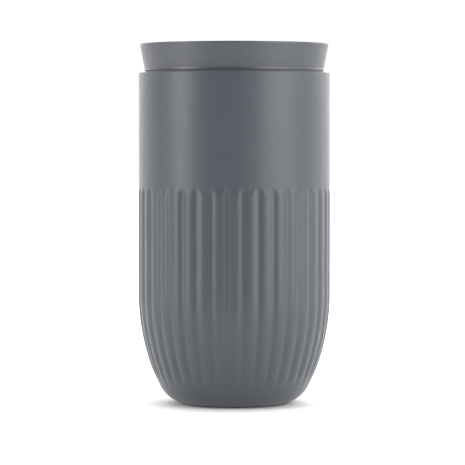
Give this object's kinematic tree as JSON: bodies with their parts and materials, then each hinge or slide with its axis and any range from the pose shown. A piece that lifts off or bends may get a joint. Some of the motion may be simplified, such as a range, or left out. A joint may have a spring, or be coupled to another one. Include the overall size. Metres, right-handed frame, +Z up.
{
  "type": "insulated travel cup",
  "caption": "Round double-wall travel cup with a ribbed lower body, flared screw-in lid and central click button that opens a valve for drinking from any side.",
  "frame": {"origin": "centre of the underside of the foot pad, on the surface that the cup stands on", "axes": "+Z up along the cup's axis towards the lid; -Y is the front, where one rib's crest lies; +X to the right"},
  "size_m": [0.0816, 0.0815, 0.1523],
  "materials": {
    "satin_coat": "satin slate-grey coat",
    "lid_plastic": "satin slate-grey moulding",
    "button_plastic": "satin darker grey moulding",
    "steel": "brushed stainless steel",
    "latch_plastic": "natural white moulding",
    "silicone": "matt dark silicone",
    "getter_alloy": "sintered grey metal"
  },
  "bodies": {
    "cup": {"outer_shell": "satin_coat", "inner_liner": "steel", "outer_base": "steel", "vacuum_plug": "steel", "getter": "getter_alloy", "foot_pad": "silicone"},
    "gasket_carrier": {"lid_gasket": "silicone"},
    "lid": {"lid_body": "lid_plastic", "lid_insert": "latch_plastic", "splash_disc": "lid_plastic", "latch_sleeve": "latch_plastic", "rod_seal": "silicone", "return_spring": "steel"},
    "button": {"button_cap": "button_plastic", "latch_plunger": "latch_plastic", "push_rod": "latch_plastic", "spring_seat": "steel", "valve_disc": "latch_plastic", "valve_seal": "silicone", "retaining_screw": "steel"},
    "rotor": {"latch_rotor": "latch_plastic"}
  },
  "joints": [
    {"name": "lid_lift", "type": "slide", "parent": "cup", "child": "gasket_carrier", "axis": [0, 0, 1], "range_m": [0, 0.036]},
    {"name": "lid_turn", "type": "hinge", "parent": "gasket_carrier", "child": "lid", "pos_m": [0, 0, 0.14], "axis": [0, 0, 1], "range_deg": [0, 1080]},
    {"name": "button_press", "type": "slide", "parent": "lid", "child": "button", "axis": [0, 0, -1], "range_m": [0, 0.004], "stiffness_N_per_m": 400, "springref_m": -0.004, "deforming": ["return_spring"]},
    {"name": "rotor_turn", "type": "hinge", "parent": "button", "child": "rotor", "pos_m": [0, 0, 0.136], "axis": [0, 0, -1], "range_deg": [0, 30]}
  ],
  "couplings": [
    {"joint": "lid_lift", "follows": "lid_turn", "m_per_rad": 0.0019099},
    {"joint": "rotor_turn", "follows": "button_press", "rad_per_m": 130.89}
  ]
}
